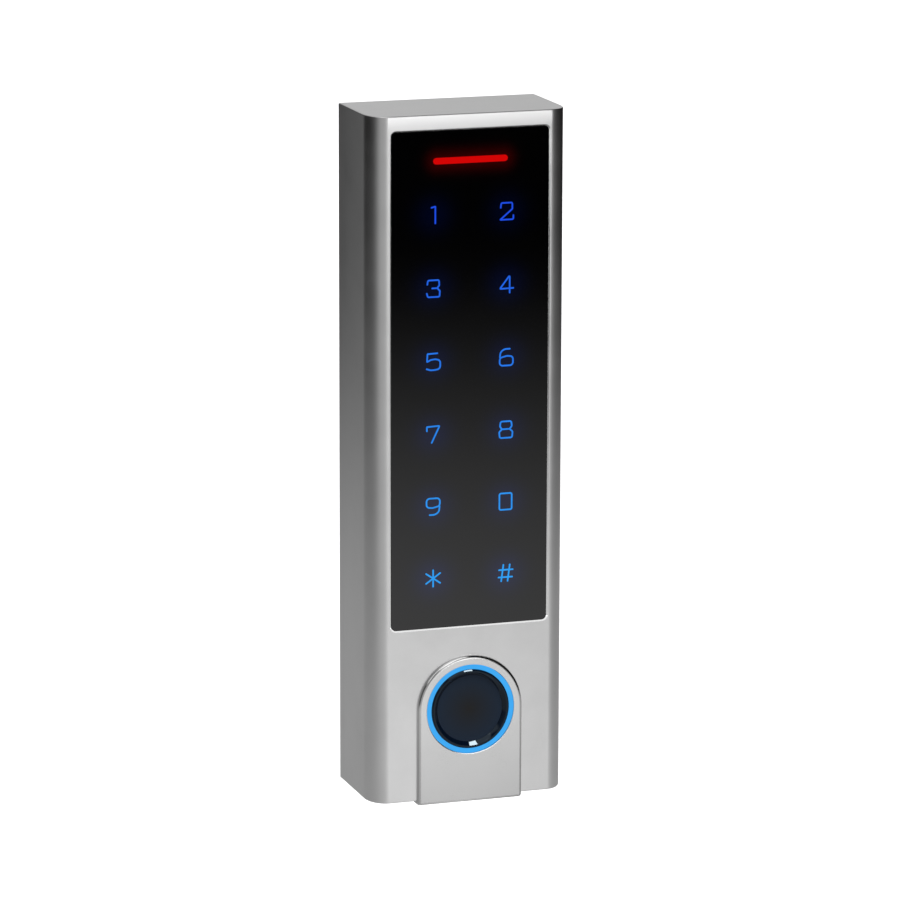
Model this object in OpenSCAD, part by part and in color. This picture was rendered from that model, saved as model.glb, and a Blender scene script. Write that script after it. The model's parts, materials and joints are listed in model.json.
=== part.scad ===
// Wall-mounted fingerprint and keypad access terminal.
// Millimetres. The origin is the centre of the wall face: +Z is up, the front looks along -Y,
// and +X is to the right of a person who faces the terminal.

/* [Body] */
// Width of the metal housing
body_w = 48; // [46:0.5:52]
// Height of the metal housing
body_h = 162; // [160:1:170]
// Distance from the wall to the front face
body_d = 25.4; // [25:0.1:28]
// Thickness of the side and top walls
wall = 2.2; // [1.8:0.1:2.4]
// How far the rounding of each upright front edge runs across the front
edge_across = 4.4; // [2.5:0.1:4.4]
// How far the same rounding runs back along the side
edge_back = 6.2; // [4:0.1:8]

/* [Touch panel] */
// Width of the glass
glass_w = 38; // [37:0.1:38.6]
// Height of the glass
glass_h = 116.8; // [114:0.1:117]
// Distance from the top of the housing to the window
glass_drop = 3.6; // [3:0.1:4]
// Corner radius of the glass
glass_r = 1.1; // [0.8:0.1:2]
// Distance between the two key columns
key_dx = 17.7; // [16:0.1:19]
// Distance between key rows
key_dz = 17.1; // [16:0.1:17.4]

/* [Fingerprint sensor] */
// Height of the sensor's centre above the bottom of the housing
sensor_up = 21.6; // [20:0.1:23]
// Radius of the sensing disc with its dark rim
disc_r = 9.5; // [8.8:0.1:9.6]
// Outer radius of the lit ring
ring_r = 10.65; // [10.3:0.05:10.8]
// Half the width of the arched bezel
arch_r = 12.8; // [12.2:0.1:13.5]
// How far the arched bezel stands in front of the housing
arch_proud = 1.2; // [0.8:0.1:1.6]

/* [Wall plate] */
// Thickness of the plate
plate_t = 1.5; // [1.5:0.1:1.7]
// Distance between the two wall screws
screw_dz = 110; // [100:1:112]
// Radius of each wall screw hole
screw_r = 2.1; // [1.8:0.1:2.4]
// Radius of the cable hole
cable_hole_r = 8; // [7:0.5:9]
// Radius of the bore in the cable grommet
cable_r = 3.1; // [2.5:0.1:3.5]

/* [Hidden] */

$fn = 64;
eps = 0.01;
half_w = body_w / 2;
half_h = body_h / 2;
front = -body_d;            // front face of the housing
rim = -0.8;                 // rear rim of the housing, clear of the wall
chamfer = 0.2;              // along the top and bottom edges of the housing
floor_t = 3;                // bottom wall, thick enough for the screw head's recess
front_t = 2.4;
in_w = half_w - wall;       // half the width of the cavity
in_top = half_h - wall;
in_bot = -half_h + floor_t;
in_front = front + front_t;

// window and glass
win_gap = 0.1;
win_bevel = 0.3;            // polished chamfer round the window
win_r = glass_r + win_gap;
glass_top = half_h - glass_drop - win_gap;
glass_z = glass_top - glass_h / 2;
glass_front = front + 0.2;
glass_t = 1.1;
glass_back = glass_front + glass_t;
adhesive_t = 0.3;
ledge_y = glass_back + adhesive_t;
ledge_w = 2;                // how far the ledge reaches in under the glass
film_t = 0.2;
baffle_front = glass_back + film_t;
baffle_t = 2;
board1_front = baffle_front + baffle_t;
board_t = 1.2;
board1_back = board1_front + board_t;

// keys and status bar
row_top = half_h - 23.1;    // height of the first key row
status_z = half_h - 10.7;
status_w = 18;
status_t = 1.5;
key_spots = [for (row = [0 : 5], side = [-1, 1]) [side * key_dx / 2, row_top - row * key_dz]];

// main board and the posts that carry it
board2_front = -15.6;
board2_t = 1.6;
board2_back = board2_front + board2_t;
board2_w = 39.6;
board2_z0 = -42;
board2_z1 = 64;
// where its larger parts sit: x and z
processor_spot = [0, 38];
flash_spot = [-10, -18];
crystal_spot = [9.5, 38];
relay_spot = [-9, 45];
buzzer_spot = [8, 48];
capacitor_spot = [-12, -24];
terminals_z = 12;
relay_back = -6;
buzzer_back = -8.6;
post_x = 18;
post_r = 2.3;
post_front = -20.4;
board_post_z = [55, -24];
cover_post_z = [67, 0, -60];
cover_front = -5.4;
cover_t = 1.5;
cover_back = cover_front + cover_t;
cover_top = 71.8;
cover_bot = -71.6;
seal_t = 1;
ledge_t = 1.2;

cable_z = 30;

// pockets behind the electronics, over the hook and over the tab: height and depth
top_pocket_z = 72.2;
top_pocket_d = 8.4;
low_pocket_z = -72;
low_pocket_d = 11.4;

// hook at the top of the wall plate, and the rib that hangs in it
hinge_y = -2.9;
hinge_z = half_h - 4.7;
rib_r = 1;
hook_gap = 0.1;
hook_t = 1.2;
hook_w = 26;
hook_low = hinge_z - rib_r - hook_gap;
hook_front = hinge_y - rib_r - 0.4 - hook_t;

// tab at the bottom, with the security screw
tab_z = in_bot + 0.6;
tab_len = 9;
tab_w = 11;
screw_y = -5.6;
thread_r = 1.5;
head_r = 2.7;
head_low = -half_h + 0.1;
head_t = 1.7;

// fingerprint sensor
sensor_z = -half_h + sensor_up;
arch_front = front - arch_proud;
lens_r = 8.5;
lens_back = arch_front + 1.4;
lens_t = 0.65;
lens_front = lens_back - lens_t;
rim_front = arch_front - 0.1;
rim_inner = 7.95;           // the dark rim slopes in to this radius, over the edge of the disc
guide_in = disc_r + 0.05;
sleeve_in = ring_r + 0.03;
sleeve_out = ring_r + 0.18;
hole_r = sleeve_out + 0.1;
bezel_hole_r = ring_r + 0.08;
foot = 0.9;                 // how far the arched bezel reaches under the housing
foot_len = 7;
peg_x = 9;
peg_z = -half_h + 6.5;
peg_r = 1.6;
flange_r = 13.2;
flange_y = in_front + 0.6;
flange_t = 1.4;
clamp_y = flange_y + flange_t;
can_r = 9.4;
can_back = -14;
sensor_chip_front = -23.2;
sensor_chip_t = 1.2;
sensor_board_front = sensor_chip_front + sensor_chip_t;
sensor_board_back = sensor_board_front + 1;
ear_x = 15.4;
ear_z = 9;

// tamper contact
tamper_x = 10;
tamper_z = -22;
rod_r = 1.6;
collar_y = -7.4;
collar_t = 0.8;
switch_back = -10;

// ---------------------------------------------------------------- helpers

// A cylinder that runs from y0 to y1
module rod(r, y0, y1) {
    translate([0, y1, 0]) rotate([90, 0, 0]) cylinder(r = r, h = y1 - y0);
}

// A ring that runs from y0 to y1
module tube(r_out, r_in, y0, y1) {
    difference() {
        rod(r_out, y0, y1);
        rod(r_in, y0 - 1, y1 + 1);
    }
}

// A box given by its x and z centre, its size and its two y ends
module slab(x, z, w, h, y0, y1) {
    translate([x - w / 2, y0, z - h / 2]) cube([w, y1 - y0, h]);
}

// An upright plate with round corners, given like slab
module round_slab(x, z, w, h, r, y0, y1) {
    translate([x, y1, z]) rotate([90, 0, 0]) linear_extrude(y1 - y0) round_rect(w, h, r);
}

module round_rect(w, h, r) {
    square([w, h - 2 * r], center = true);
    square([w - 2 * r, h], center = true);
    for (sx = [-1, 1], sz = [-1, 1])
        translate([sx * (w / 2 - r), sz * (h / 2 - r)]) circle(r);
}

// A pan-head screw: the head's underside is at y, and the shank runs forward
module screw(r, len, head, head_h, y) {
    difference() {
        union() {
            rod(r, y - len, y + eps);
            rod(head, y, y + head_h);
        }
        cross_recess(head, y + head_h);
    }
}

module cross_recess(head, y) {
    depth = 0.6;
    slab(0, 0, head, 0.4, y - depth, y + 1);
    slab(0, 0, 0.4, head, y - depth, y + 1);
}

// Plan of the housing: square at the wall, with an elliptical round on each upright front edge
module housing_plan(inset) {
    steps = 16;
    w = half_w - inset;
    f = front + inset;
    ax = edge_across - inset;
    ay = edge_back - inset;
    arc = [for (i = [0 : steps]) let (a = 90 * i / steps)
        [w - ax + ax * cos(a), f + ay - ay * sin(a)]];
    mirrored = [for (i = [steps : -1 : 0]) [-arc[i][0], arc[i][1]]];
    polygon(concat([[-w, rim], [w, rim]], arc, mirrored));
}

// ---------------------------------------------------------------- housing

module housing_outside() {
    hull() {
        translate([0, 0, -half_h + chamfer])
            linear_extrude(body_h - 2 * chamfer) housing_plan(0);
        translate([0, 0, -half_h]) linear_extrude(body_h) housing_plan(chamfer);
    }
}

module housing_cavity() {
    difference() {
        translate([-in_w, in_front, in_bot]) cube([2 * in_w, -in_front + 1, in_top - in_bot]);
        // thicker corners behind the rounded front edges
        for (side = [-1, 1]) slab(side * in_w, 0, 4, body_h, in_front - 1, in_front + 2);
    }
}

// The round-cornered window, its polished chamfer and the ledge for the glass
module window() {
    w = glass_w + 2 * win_gap;
    h = glass_h + 2 * win_gap;
    round_slab(0, glass_z, w, h, win_r, front - 1, ledge_y);
    round_slab(0, glass_z, glass_w - 2 * ledge_w, glass_h - 2 * ledge_w, 1, front, in_front + 1);
    hull() {
        round_slab(0, glass_z, w, h, win_r, front + win_bevel, front + win_bevel + 0.1);
        round_slab(0, glass_z, w + 2 * win_bevel, h + 2 * win_bevel, win_r + win_bevel,
            front - 0.1, front - 0.02);
    }
}

// Posts for the main board and the rear cover, each joined to the side wall by a web
module posts(heights, y1, web_y1) {
    for (side = [-1, 1], z = heights) {
        translate([side * post_x, 0, z]) rod(post_r, post_front, y1);
        slab(side * (post_x + 3), z, 3.2, 2.4, post_front, web_y1);
    }
}

module post_holes(heights, r, y0) {
    for (side = [-1, 1], z = heights) translate([side * post_x, 0, z]) rod(r, y0, 1);
}

// Ledge all round the cavity that the cover's seal rests on
module seal_ledge() {
    y1 = cover_front - seal_t;
    mid = (cover_top + cover_bot) / 2;
    h = cover_top - cover_bot + 0.8;
    difference() {
        slab(0, mid, 2 * in_w + 0.4, h, y1 - ledge_t, y1);
        slab(0, mid, 2 * in_w - 3.2, h - 3.2, y1 - ledge_t - 1, y1 + 1);
    }
}

// Box that closes off a pocket behind the electronics, open to the wall
module pocket(z0, z1, depth) {
    shell = 1.2;
    shelf_z = z0 > 0 ? z0 : z1 - shell;
    slab(0, shelf_z + shell / 2, 2 * in_w + 0.4, shell, -depth, cover_back);
    slab(0, (z0 + z1) / 2, 2 * in_w + 0.4, z1 - z0, -depth, -depth + shell);
}

module hanging_rib() {
    w = hook_w + 8;
    slab(0, (hinge_z + in_top + 0.5) / 2, w, in_top + 0.5 - hinge_z,
        hinge_y - rib_r, hinge_y + rib_r);
    translate([-w / 2, hinge_y, hinge_z]) rotate([0, 90, 0]) cylinder(r = rib_r, h = w);
}

// Notch in the bottom wall, open to the wall side, for the screw's shank and its sunk head
module screw_notch() {
    for (part = [[thread_r + 0.4, head_low + head_t, in_bot + 1],
                 [head_r + 0.4, -half_h - 1, head_low + head_t + 0.1]]) {
        r = part[0];
        translate([0, screw_y, part[1]]) cylinder(r = r, h = part[2] - part[1]);
        translate([-r, screw_y, part[1]]) cube([2 * r, -screw_y + 1, part[2] - part[1]]);
    }
}

module front_housing() color("silver") difference() {
    union() {
        difference() {
            housing_outside();
            housing_cavity();
        }
        posts(board_post_z, board2_front, board2_front);
        posts(cover_post_z, cover_front, cover_front - seal_t - ledge_t + 0.2);
        seal_ledge();
        pocket(top_pocket_z, in_top + 0.4, top_pocket_d);
        pocket(in_bot - 0.4, low_pocket_z, low_pocket_d);
        hanging_rib();
        for (side = [-1, 1], s = [-1, 1])
            translate([side * ear_x, 0, sensor_z + s * ear_z])
                rod(1.9, in_front - 0.5, clamp_y);
    }
    window();
    screw_notch();
    post_holes(board_post_z, 1.05, board2_front - 5.4);
    post_holes(cover_post_z, 1.3, cover_front - 7.4);
    translate([0, 0, sensor_z]) rod(hole_r, front - 2, in_front + 1);
    for (side = [-1, 1]) {
        translate([side * peg_x, 0, peg_z]) rod(peg_r + 0.05, front - 2, in_front + 1);
        for (s = [-1, 1])
            translate([side * ear_x, 0, sensor_z + s * ear_z]) rod(0.85, in_front - 1, 0);
    }
}

// ---------------------------------------------------------------- wall plate and its screw

module wall_plate() color("lightgray") difference() {
    top = hinge_z + 0.9;
    union() {
        // the sheet, wide over the cover and narrow at its hook and tab
        round_slab(0, 0, 41, 138, 3, -plate_t, 0);
        slab(0, top / 2, hook_w, top, -plate_t, 0);
        slab(0, tab_z / 2, tab_w, -tab_z, -plate_t, 0);
        // hook: a trough open at the top
        slab(0, hook_low - hook_t / 2, hook_w, hook_t, hook_front, -plate_t + eps);
        slab(0, (hook_low - hook_t + top) / 2, hook_w, top - hook_low + hook_t,
            hook_front, hook_front + hook_t);
        // tab bent forward at the bottom
        slab(0, tab_z + plate_t / 2, tab_w, plate_t, -tab_len, 0);
    }
    for (s = [-1, 1]) translate([0, 0, s * screw_dz / 2]) rod(screw_r, -plate_t - 1, 1);
    translate([0, 0, cable_z]) rod(cable_hole_r, -plate_t - 1, 1);
    translate([tamper_x, 0, tamper_z]) rod(rod_r + 0.7, -plate_t - 1, 1);
    translate([0, screw_y, tab_z - 1]) cylinder(r = 2.2, h = plate_t + 2);
}

// Threaded insert pressed into the tab
module clinch_nut() color("gray") translate([0, screw_y, tab_z]) difference() {
    union() {
        cylinder(r = 2.2, h = plate_t);
        translate([0, 0, plate_t]) cylinder(r = 2.9, h = 1.8);
    }
    translate([0, 0, -1]) cylinder(r = thread_r + 0.05, h = 6);
}

// Captive screw with a six-lobed socket and a centre pin
module security_screw() color("dimgray") translate([0, screw_y, head_low]) difference() {
    union() {
        cylinder(r = head_r, h = head_t);
        cylinder(r = thread_r, h = head_t + 5.2);
    }
    difference() {
        union() {
            translate([0, 0, -1]) cylinder(r = 1.0, h = 2.1);
            for (a = [0 : 60 : 300])
                rotate(a) translate([1.05, 0, -1]) cylinder(r = 0.32, h = 2.1, $fn = 24);
        }
        translate([0, 0, -2]) cylinder(r = 0.4, h = 4, $fn = 24);
    }
}

// ---------------------------------------------------------------- touch panel stack

module touch_panel() color("black")
    round_slab(0, glass_z, glass_w, glass_h, glass_r, glass_front, glass_back);

module panel_adhesive() color("dimgray") difference() {
    round_slab(0, glass_z, glass_w - 0.4, glass_h - 0.4, glass_r, glass_back, ledge_y);
    round_slab(0, glass_z, glass_w - 2 * ledge_w, glass_h - 2 * ledge_w, 1,
        glass_back - 1, ledge_y + 1);
}

module legend_film() color("lightsteelblue")
    round_slab(0, glass_z, glass_w - 4.6, glass_h - 4.6, 1, glass_back, baffle_front);

baffle_screws = [for (side = [-1, 1], s = [-1, 1]) [side * 15.3, glass_z + s * 53.4]];

module light_baffle() color("white") difference() {
    round_slab(0, glass_z, glass_w - 4.6, glass_h - 4.6, 1, baffle_front, board1_front);
    for (spot = key_spots)
        round_slab(spot[0], spot[1], 12, 12, 1.5, baffle_front - 1, board1_front + 1);
    round_slab(0, status_z, status_w + 2, status_t + 1.6, 1, baffle_front - 1, board1_front + 1);
    for (spot = baffle_screws)
        translate([spot[0], 0, spot[1]]) rod(0.75, baffle_front + 0.5, board1_front + 1);
}

module status_light_pipe() color("red")
    round_slab(0, status_z, status_w, status_t, 0.7, baffle_front, board1_front - 0.7);

module keypad_board() color("darkgreen") difference() {
    slab(0, (glass_z - 59 + in_top - 1) / 2, 37.4, in_top - 1 - glass_z + 59,
        board1_front, board1_back);
    for (spot = baffle_screws)
        translate([spot[0], 0, spot[1]]) rod(0.9, board1_front - 1, board1_back + 1);
}

module keypad_screws() color("gray") for (spot = baffle_screws)
    translate([spot[0], 0, spot[1]]) screw(0.7, 2.6, 1.3, 0.9, board1_back);

module key_leds() color("deepskyblue") for (spot = key_spots)
    slab(spot[0], spot[1], 1.6, 0.9, board1_front - 0.6, board1_front);

module status_leds() color("orangered") for (i = [-3, -1, 1, 3])
    slab(i * 2.4, status_z, 1.6, 0.9, board1_front - 0.6, board1_front);

module touch_controller() color("black") slab(0, 22, 7, 7, board1_back, board1_back + 1);

// Reader antenna: a flat winding on the back of the keypad board
module antenna_coil() color("peru") difference() {
    round_slab(0, glass_z, 26, 106, 3, board1_back, board1_back + 0.5);
    round_slab(0, glass_z, 22.4, 102.4, 1.5, board1_back - 1, board1_back + 2);
}

module board_connector() color("ivory") slab(0, 5, 16, 2.6, board1_back, board2_front);

// ---------------------------------------------------------------- main board

module main_board() color("darkgreen") difference() {
    slab(0, (board2_z0 + board2_z1) / 2, board2_w, board2_z1 - board2_z0,
        board2_front, board2_back);
    for (side = [-1, 1]) {
        slab(side * 19, 0, 7.4, 5.4, board2_front - 1, board2_back + 1);
        for (z = board_post_z)
            translate([side * post_x, 0, z]) rod(1.1, board2_front - 1, board2_back + 1);
    }
}

module board_screws() color("gray") for (side = [-1, 1], z = board_post_z)
    translate([side * post_x, 0, z]) screw(1, 5.2, 1.9, 1.3, board2_back);

module processor_chip() color("black")
    slab(processor_spot[0], processor_spot[1], 10, 10, board2_front - 1.4, board2_front);

module flash_chip() color("black")
    slab(flash_spot[0], flash_spot[1], 5.2, 5.2, board2_front - 1.6, board2_front);

module crystal() color("silver")
    round_slab(crystal_spot[0], crystal_spot[1], 3.2, 8, 1.2, board2_front - 2.4, board2_front);

module relay() color("royalblue")
    slab(relay_spot[0], relay_spot[1], 10, 15.5, board2_back, relay_back);

module buzzer() color("black")
    translate([buzzer_spot[0], 0, buzzer_spot[1]]) difference() {
        rod(4.75, board2_back, buzzer_back);
        rod(1, buzzer_back - 1, 0);
    }

module capacitor() color("navy")
    translate([capacitor_spot[0], 0, capacitor_spot[1]]) rod(3.15, board2_back, -6.3);

module cable_connector() color("white") difference() {
    slab(0, terminals_z, 22.5, 6.2, board2_back, -8);
    slab(0, terminals_z, 20.5, 4.4, -11.5, 0);
}

module ribbon_connector() color("ivory")
    slab(0, board2_z0 + 2.6, 11, 3.6, board2_back, board2_back + 2);

// Flat flexible lead, up the back of the sensor and over the edge of the main board
module sensor_ribbon() color("orange") {
    y = board2_back;
    top = board2_z0 + 0.8;
    slab(0, (sensor_z + top) / 2, 8, top - sensor_z, y + 0.5, y + 0.8);
    slab(0, sensor_z + 0.15, 8, 0.3, sensor_board_back, y + 0.5 + eps);
}

// ---------------------------------------------------------------- fingerprint sensor

module at_sensor() {
    translate([0, 0, sensor_z]) children();
}

// Arched bezel: stands proud of the housing and turns back under its bottom edge
module sensor_bezel() color("gainsboro") {
    bevel = 0.4;
    edge = 0.15;
    difference() {
        hull() {
            arch_plate(0, arch_front + bevel, front);
            arch_plate(bevel, arch_front, front);
        }
        at_sensor() rod(bezel_hole_r, arch_front - 1, front + 1);
        at_sensor() translate([0, arch_front + edge, 0]) rotate([90, 0, 0])
            cylinder(r1 = bezel_hole_r, r2 = bezel_hole_r + 2 * edge, h = 2 * edge);
    }
    slab(0, -half_h - foot / 2, 2 * arch_r, foot, front - eps, front + foot_len);
    for (side = [-1, 1]) translate([side * peg_x, 0, peg_z]) bezel_peg();
}

// Outline of the arched plate, drawn in from its outer edge by an inset
module arch_plate(inset, y0, y1) {
    r = arch_r - inset;
    low = -half_h - foot + inset;
    at_sensor() rod(r, y0, y1);
    slab(0, (sensor_z + low) / 2, 2 * r, sensor_z - low, y0, y1);
}

// Peg on the bezel's back, bored for its screw
module bezel_peg() {
    difference() {
        rod(peg_r, front - 0.5, in_front);
        rod(0.75, front - 0.2, 0);
    }
}

module bezel_screws() color("gray") for (side = [-1, 1])
    translate([side * peg_x, 0, peg_z]) screw(0.7, 2.4, 2.2, 1.1, in_front);

module sensor_lens() color("#20262f") at_sensor() rod(lens_r, lens_front, lens_back);

// Dark rim: slopes in from its proud outer edge, over the edge of the disc
module sensor_trim_ring() color("#10151c") at_sensor() rotate([90, 0, 0]) rotate_extrude() {
    gap = 0.03;
    crown = disc_r - 0.6;
    polygon([[lens_r + gap, -lens_back], [disc_r, -lens_back], [disc_r, -rim_front - 0.3],
        [disc_r - 0.15, -rim_front], [crown, -rim_front], [rim_inner, -lens_front + gap + 0.05],
        [rim_inner, -lens_front + gap], [lens_r + gap, -lens_front + gap]]);
}

module ring_light_guide() color("deepskyblue")
    at_sensor() tube(ring_r, guide_in, arch_front + 0.3, in_front - 0.4);

module ring_leds() color("white") at_sensor() for (a = [0 : 45 : 315])
    rotate([0, a, 0]) translate([(ring_r + guide_in) / 2 - 0.4, in_front - 0.4, -0.5])
        cube([0.8, 0.6, 1]);

// Moulded holder: floor under the disc, groove for the lit ring, flange, and a can behind
module sensor_holder() color("#202020") at_sensor() rotate([90, 0, 0]) rotate_extrude() {
    floor_front = -lens_back;
    sleeve_front = -front - 0.05;
    floor_back = floor_front - 0.8;
    groove_back = -in_front - 0.2;
    polygon([[0, floor_back], [0, floor_front], [guide_in - 0.02, floor_front],
        [guide_in - 0.02, groove_back], [sleeve_in, groove_back], [sleeve_in, sleeve_front],
        [sleeve_out, sleeve_front], [sleeve_out, -flange_y], [flange_r, -flange_y],
        [flange_r, -clamp_y], [can_r, -clamp_y], [can_r, -can_back], [can_r - 1, -can_back],
        [can_r - 1, floor_back]]);
}

module sensor_o_ring() color("black")
    at_sensor() tube(flange_r - 0.4, flange_r - 1.6, in_front, flange_y);

module sensor_chip() color("black") at_sensor()
    slab(0, 0, 9, 9, sensor_chip_front, sensor_board_front);

module sensor_board() color("darkgreen") at_sensor()
    rod(can_r - 1.05, sensor_board_front, sensor_board_back);

module sensor_clamp() color("silver") at_sensor() difference() {
    union() {
        rod(flange_r, clamp_y, clamp_y + 1);
        slab(0, ear_z, 2 * ear_x + 4, 4.6, clamp_y, clamp_y + 1);
        slab(0, -ear_z, 2 * ear_x + 4, 4.6, clamp_y, clamp_y + 1);
    }
    rod(can_r + 0.1, clamp_y - 1, clamp_y + 2);
    for (sx = [-1, 1], sz = [-1, 1])
        translate([sx * ear_x, 0, sz * ear_z]) rod(1, clamp_y - 1, clamp_y + 2);
}

module sensor_clamp_screws() color("gray") at_sensor() for (sx = [-1, 1], sz = [-1, 1])
    translate([sx * ear_x, 0, sz * ear_z]) screw(0.8, 2.8, 1.7, 1.1, clamp_y + 1);

// ---------------------------------------------------------------- rear cover

module rear_cover() color("#2a2a2a") difference() {
    mid = (cover_top + cover_bot) / 2;
    h = cover_top - cover_bot - 0.2;
    union() {
        slab(0, mid, 2 * in_w - 0.4, h, cover_front, cover_back);
        translate([tamper_x, 0, tamper_z]) rod(3, cover_front, cover_back + 1.2);
    }
    for (side = [-1, 1], z = cover_post_z)
        translate([side * post_x, 0, z]) rod(1.4, cover_front - 1, cover_back + 1);
    translate([0, 0, cable_z]) rod(5.5, cover_front - 1, cover_back + 1);
    translate([tamper_x, 0, tamper_z]) rod(rod_r + 0.06, cover_front - 1, cover_back + 2);
}

module rear_cover_seal() color("black") difference() {
    mid = (cover_top + cover_bot) / 2;
    h = cover_top - cover_bot - 0.4;
    slab(0, mid, 2 * in_w - 0.4, h, cover_front - seal_t, cover_front);
    slab(0, mid, 2 * in_w - 2.6, h - 2.2, cover_front - seal_t - 1, cover_front + 1);
}

module rear_cover_screws() color("gray") for (side = [-1, 1], z = cover_post_z)
    translate([side * post_x, 0, z]) screw(1.25, 7, 2.2, 1.3, cover_back);

// Rubber grommet snapped into the cover
module cable_grommet() color("#151515") translate([0, 0, cable_z]) difference() {
    union() {
        rod(5.5, cover_front - 0.8, cover_back + 0.8);
        rod(7, cover_front - 0.8, cover_front);
        rod(7, cover_back, cover_back + 0.8);
    }
    rod(cable_r, cover_front - 3, cover_back + 3);
}

module tamper_switch() color("#303030") translate([tamper_x, 0, tamper_z])
    slab(0, 0, 6, 6, board2_back, switch_back);

// Plunger: its tip bears on the wall through the plate, and its collar is held by the cover
module tamper_plunger() color("white") translate([tamper_x, 0, tamper_z]) {
    rod(rod_r, collar_y, 0);
    rod(2.4, collar_y, collar_y + collar_t);
}

// Coil spring between the switch and the collar: a wire swept along a helix
module tamper_spring() color("silver") {
    wire_r = 0.16;
    coil_r = 1.7;
    turns = 4;
    steps = 14;
    sides = 6;
    y0 = switch_back + wire_r + 0.04;
    y1 = collar_y - wire_r - 0.04;
    n = turns * steps;
    ring = [for (i = [0 : n], j = [0 : sides - 1])
        let (a = 360 * i / steps, b = 360 * j / sides, r = coil_r + wire_r * cos(b))
        [r * cos(a), y0 + (y1 - y0) * i / n + wire_r * sin(b), r * sin(a)]];
    walls = [for (i = [0 : n - 1], j = [0 : sides - 1])
        let (k = (j + 1) % sides)
        [i * sides + j, i * sides + k, (i + 1) * sides + k, (i + 1) * sides + j]];
    cap0 = [for (j = [sides - 1 : -1 : 0]) j];
    cap1 = [for (j = [0 : sides - 1]) n * sides + j];
    translate([tamper_x, 0, tamper_z]) polyhedron(ring, concat(walls, [cap0, cap1]), convexity = 8);
}

// ---------------------------------------------------------------- drawing

wall_plate();
clinch_nut();
security_screw();
front_housing();
touch_panel();
panel_adhesive();
legend_film();
light_baffle();
status_light_pipe();
keypad_board();
keypad_screws();
key_leds();
status_leds();
touch_controller();
antenna_coil();
board_connector();
main_board();
board_screws();
processor_chip();
flash_chip();
crystal();
relay();
buzzer();
capacitor();
cable_connector();
ribbon_connector();
sensor_ribbon();
sensor_bezel();
bezel_screws();
sensor_lens();
sensor_trim_ring();
ring_light_guide();
ring_leds();
sensor_holder();
sensor_o_ring();
sensor_chip();
sensor_board();
sensor_clamp();
sensor_clamp_screws();
rear_cover();
rear_cover_seal();
rear_cover_screws();
cable_grommet();
tamper_switch();
tamper_spring();
tamper_plunger();
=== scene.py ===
import json
import math

import bmesh
import bpy
from mathutils import Matrix, Vector


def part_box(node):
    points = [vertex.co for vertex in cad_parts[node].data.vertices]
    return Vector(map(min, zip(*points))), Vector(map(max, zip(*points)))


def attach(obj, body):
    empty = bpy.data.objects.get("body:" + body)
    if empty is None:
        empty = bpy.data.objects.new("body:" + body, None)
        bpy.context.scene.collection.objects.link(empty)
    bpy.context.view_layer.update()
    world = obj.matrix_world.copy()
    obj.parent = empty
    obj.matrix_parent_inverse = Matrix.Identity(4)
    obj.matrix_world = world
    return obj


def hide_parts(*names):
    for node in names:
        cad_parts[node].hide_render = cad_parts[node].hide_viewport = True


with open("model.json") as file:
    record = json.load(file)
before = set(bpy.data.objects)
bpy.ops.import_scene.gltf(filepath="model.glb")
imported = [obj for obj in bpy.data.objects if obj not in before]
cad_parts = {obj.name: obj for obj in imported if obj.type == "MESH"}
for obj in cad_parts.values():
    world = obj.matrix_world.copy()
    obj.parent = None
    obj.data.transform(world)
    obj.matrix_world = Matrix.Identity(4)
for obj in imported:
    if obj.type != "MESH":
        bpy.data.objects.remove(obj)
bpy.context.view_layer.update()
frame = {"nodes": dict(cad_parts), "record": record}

MM = 0.001


def node_box(name):
    """Lowest and highest corner of a CAD node, in millimetres."""
    low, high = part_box(name)
    return low / MM, high / MM


# ---------------------------------------------------------------- places, in millimetres

HOUSING_LOW, HOUSING_HIGH = node_box("front_housing")
GLASS_LOW, GLASS_HIGH = node_box("touch_panel")
BAR_LOW, BAR_HIGH = node_box("status_light_pipe")
KEYS_LOW, KEYS_HIGH = node_box("key_leds")
RING_LOW, RING_HIGH = node_box("ring_light_guide")
RIM_LOW, RIM_HIGH = node_box("sensor_trim_ring")
LENS_LOW, LENS_HIGH = node_box("sensor_lens")
ARCH_LOW, ARCH_HIGH = node_box("sensor_bezel")
LED_W, LED_H = 1.6, 0.9

FRONT_Y = HOUSING_LOW.y
GLASS_Z = (GLASS_LOW.z + GLASS_HIGH.z) / 2
KEY_X = (KEYS_HIGH.x - KEYS_LOW.x - LED_W) / 2
KEY_TOP = KEYS_HIGH.z - LED_H / 2
KEY_PITCH = (KEYS_HIGH.z - KEYS_LOW.z - LED_H) / 5
BAR_Z = (BAR_LOW.z + BAR_HIGH.z) / 2
SENSOR_Z = (RING_LOW.z + RING_HIGH.z) / 2
RING_R = RING_HIGH.x
RIM_R = RIM_HIGH.x
RIM_LIP_R = 7.95
LENS_R = LENS_HIGH.x
ARCH_R = ARCH_HIGH.x
ARCH_Y = ARCH_LOW.y
EDGE_ACROSS = 4.4       # elliptical rounding of the housing's upright front edges
EDGE_BACK = 6.2
CREASE = 0.15           # how much wider than it is the rounding seems
GLASS_R = 1.1
CHAMFER = 0.2           # along the housing's top and bottom edges
CHAMFER_TILT = (10, 70)     # degrees that it seems to lean at its foot, and how much more at its top
WINDOW_TILT = 2         # degrees that the window's polished edge seems to lean inwards
LOWER_TILT = 18         # and how many degrees upwards along its lower side
LOWER_FULL = 0.4        # upward part of the inward direction from which that lean is full
SIDE_CROWN = 0.09       # how far the flat sides seem to turn away at the wall
SAME_PLACE = 0.02       # depths closer than this are the same


# ---------------------------------------------------------------- outlines

def arc(cx, cy, r, start, end, steps):
    """Points on an arc, with the angles in degrees."""
    turn = [math.radians(start + (end - start) * i / steps) for i in range(steps + 1)]
    return [(cx + r * math.cos(a), cy + r * math.sin(a)) for a in turn]


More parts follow.
